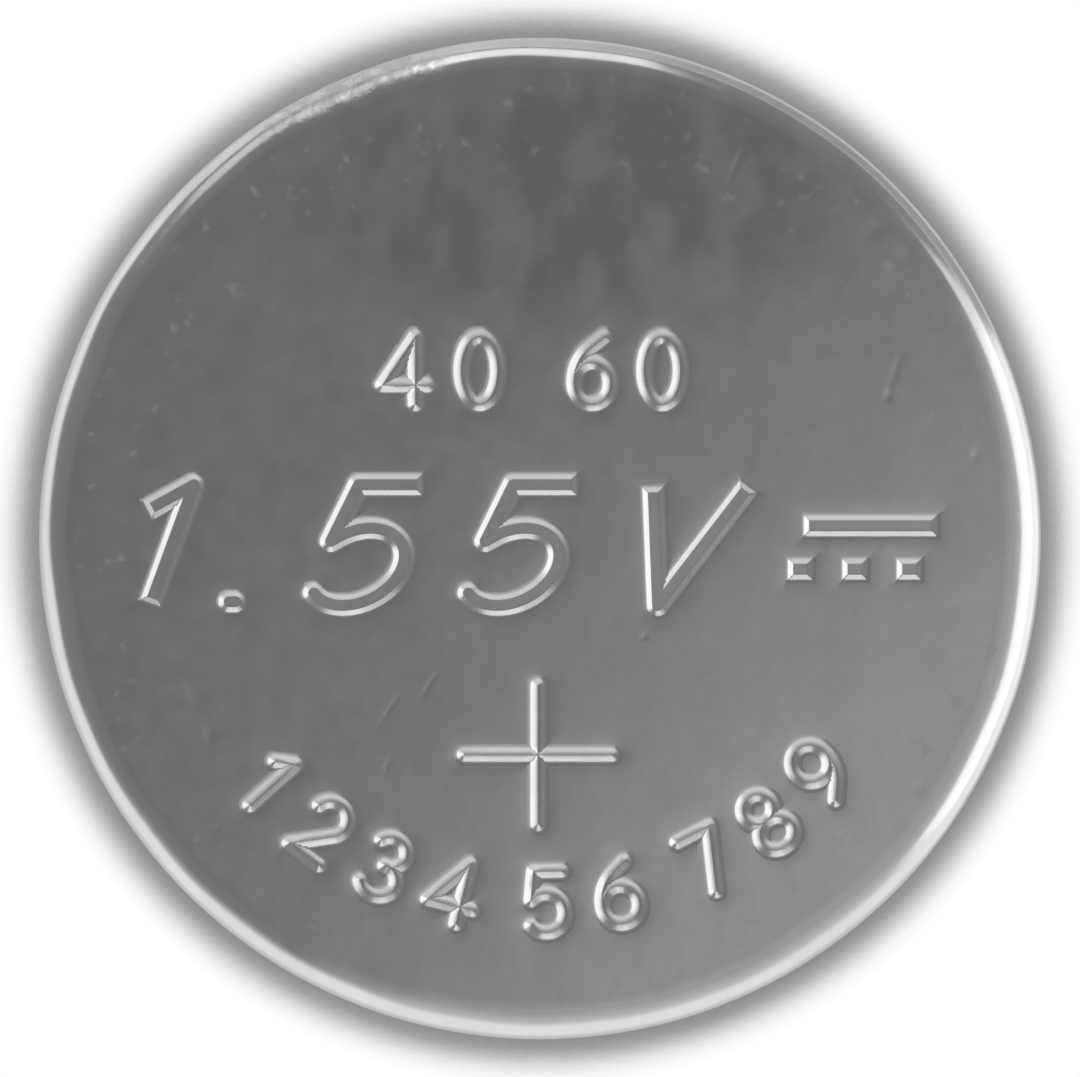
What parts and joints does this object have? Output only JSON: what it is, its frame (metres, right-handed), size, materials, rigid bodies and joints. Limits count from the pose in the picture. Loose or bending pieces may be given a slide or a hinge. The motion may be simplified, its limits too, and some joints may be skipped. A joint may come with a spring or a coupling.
{
  "type": "button cell battery",
  "caption": "Short round battery cell: a drawn metal can with a rounded positive face, rolled in at its mouth over a plastic gasket and a pressed cup that carries the negative contact.",
  "frame": {"origin": "middle of the flat negative contact, which the cell stands on", "axes": "+Z along the cell's axis, from the negative contact to the positive face; the cell is round about Z"},
  "size_m": [0.0116, 0.0116, 0.0054],
  "materials": {
    "can_plate": "satin plated",
    "cup_plate": "satin plated",
    "gasket_plastic": "smooth natural",
    "sleeve_steel": "plain",
    "pellet_powder": "pressed, matte",
    "barrier_plastic": "film",
    "absorbent_felt": "felted",
    "anode_powder": "gelled, matte"
  },
  "bodies": {
    "root": {"positive_can": "can_plate", "negative_cup": "cup_plate", "sealing_gasket": "gasket_plastic", "cathode_sleeve": "sleeve_steel", "cathode_pellet": "pellet_powder", "barrier_film": "barrier_plastic", "absorbent_disc": "absorbent_felt", "zinc_anode": "anode_powder"}
  },
  "joints": []
}
